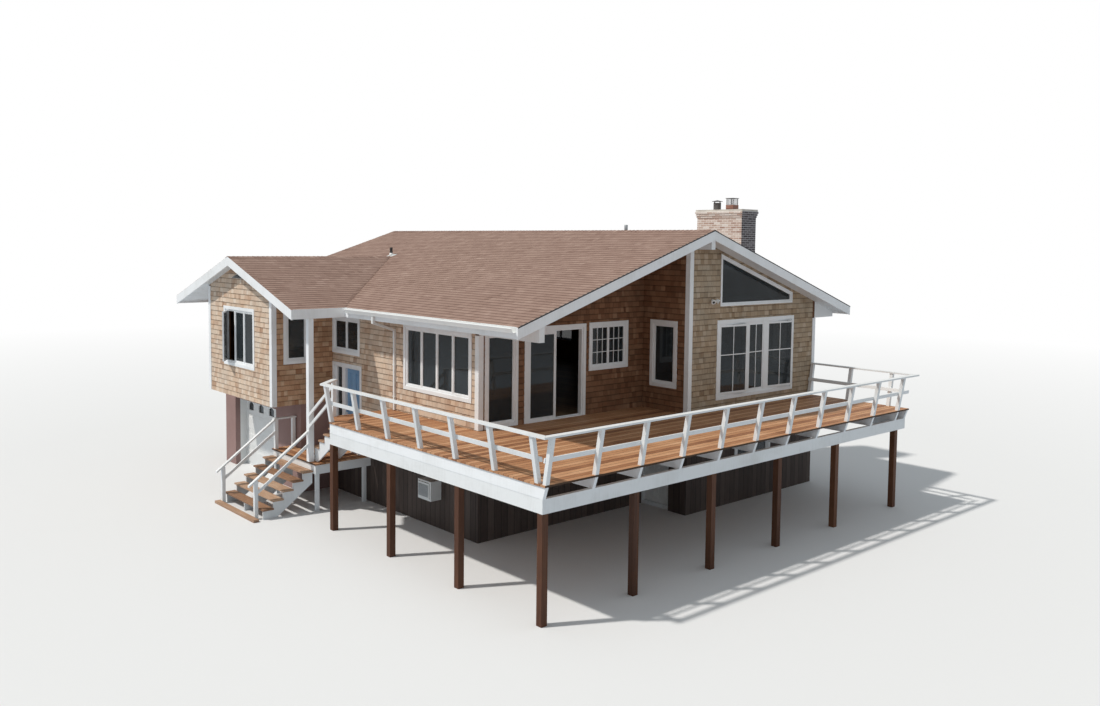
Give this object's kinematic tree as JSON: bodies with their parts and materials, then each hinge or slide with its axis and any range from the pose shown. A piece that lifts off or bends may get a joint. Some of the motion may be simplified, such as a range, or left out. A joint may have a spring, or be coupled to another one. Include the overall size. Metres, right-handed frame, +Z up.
{
  "type": "beach house",
  "caption": "Raised beach house with cedar shingles, a low gable roof, a side wing, a wrap-round timber deck on posts, stairs and a brick chimney.",
  "frame": {"origin": "on the ground, below the main ridge, about half way along the house", "axes": "+Z up, -Y towards the gable front with the deck, -X towards the side with the wing and the stairs"},
  "size_m": [15.371, 17.3305, 8.361],
  "materials": {
    "asphalt_shingles": "mineral granules, matt",
    "blue_paint": "painted, satin",
    "brick": "fired brick",
    "cedar_shingles": "weathered, matt",
    "concrete": "floated",
    "dark_boards": "painted dark, matt",
    "deck_wood": "oiled",
    "fitting_paint": "satin",
    "floor_wood": "varnished",
    "flue_metal": "dull",
    "garage_door_paint": "satin",
    "garage_stucco": "painted render, matt",
    "glass": "clear",
    "post_wood": "stained, matt",
    "vent_metal": "matt",
    "white_door_paint": "painted, satin",
    "white_metal": "satin",
    "white_paint": "painted, satin"
  },
  "bodies": {
    "house": {"ground_slab": "concrete", "main_floor": "floor_wood", "wing_floor": "floor_wood", "foyer_floor": "floor_wood", "lower_left_wall": "dark_boards", "entry_base_wall": "dark_boards", "lower_porch_wall": "dark_boards", "lower_side_wall": "dark_boards", "lower_door_header": "dark_boards", "lower_front_wall": "dark_boards", "lower_right_wall": "dark_boards", "lower_back_wall": "dark_boards", "garage_front_wall": "garage_stucco", "garage_side_walls": "garage_stucco", "left_wall": "cedar_shingles", "entry_wall": "cedar_shingles", "porch_wall": "cedar_shingles", "porch_header": "cedar_shingles", "room_side_wall": "cedar_shingles", "front_wall": "cedar_shingles", "right_wall": "cedar_shingles", "back_wall": "cedar_shingles", "wing_side_walls": "cedar_shingles", "wing_gable_wall": "cedar_shingles", "main_roof_left": "asphalt_shingles", "main_roof_right": "asphalt_shingles", "wing_roof": "asphalt_shingles", "roof_boards": "white_paint", "eave_soffit": "white_paint", "gutters": "white_metal", "roof_beams": "white_paint", "chimney": "brick", "chimney_cap": "flue_metal", "roof_vents": "vent_metal", "window_frames": "white_paint", "casements": "white_paint", "window_glass": "glass", "window_casings": "white_paint", "corner_boards": "white_paint", "entry_frame": "white_paint", "patio_frame": "white_paint", "lower_door_frame": "white_paint", "garage_door": "garage_door_paint", "deck_boards": "deck_wood", "deck_joists": "white_paint", "deck_beams": "white_paint", "deck_posts": "post_wood", "rail_posts": "white_paint", "deck_rails": "white_paint", "landing_boards": "deck_wood", "landing_frame": "white_paint", "stair_treads": "deck_wood", "stair_stringers": "white_paint", "stair_rails": "white_paint", "eave_post": "white_paint", "wall_fittings": "fitting_paint"},
    "entry_door": {"entry_door": "blue_paint"},
    "patio_slider": {"patio_slider": "white_paint", "slider_glass": "glass"},
    "lower_door": {"lower_door": "white_door_paint"}
  },
  "joints": [
    {"name": "entry_door_hinge", "type": "hinge", "parent": "house", "child": "entry_door", "pos_m": [-5.542, 0.0445, 0], "axis": [0, 0, -1], "range_deg": [0, 90]},
    {"name": "patio_slide", "type": "slide", "parent": "house", "child": "patio_slider", "axis": [1, 0, 0], "range_m": [0, 0.83]},
    {"name": "lower_door_hinge", "type": "hinge", "parent": "house", "child": "lower_door", "pos_m": [-0.105, -6.1055, 0], "axis": [0, 0, -1], "range_deg": [0, 90]}
  ]
}
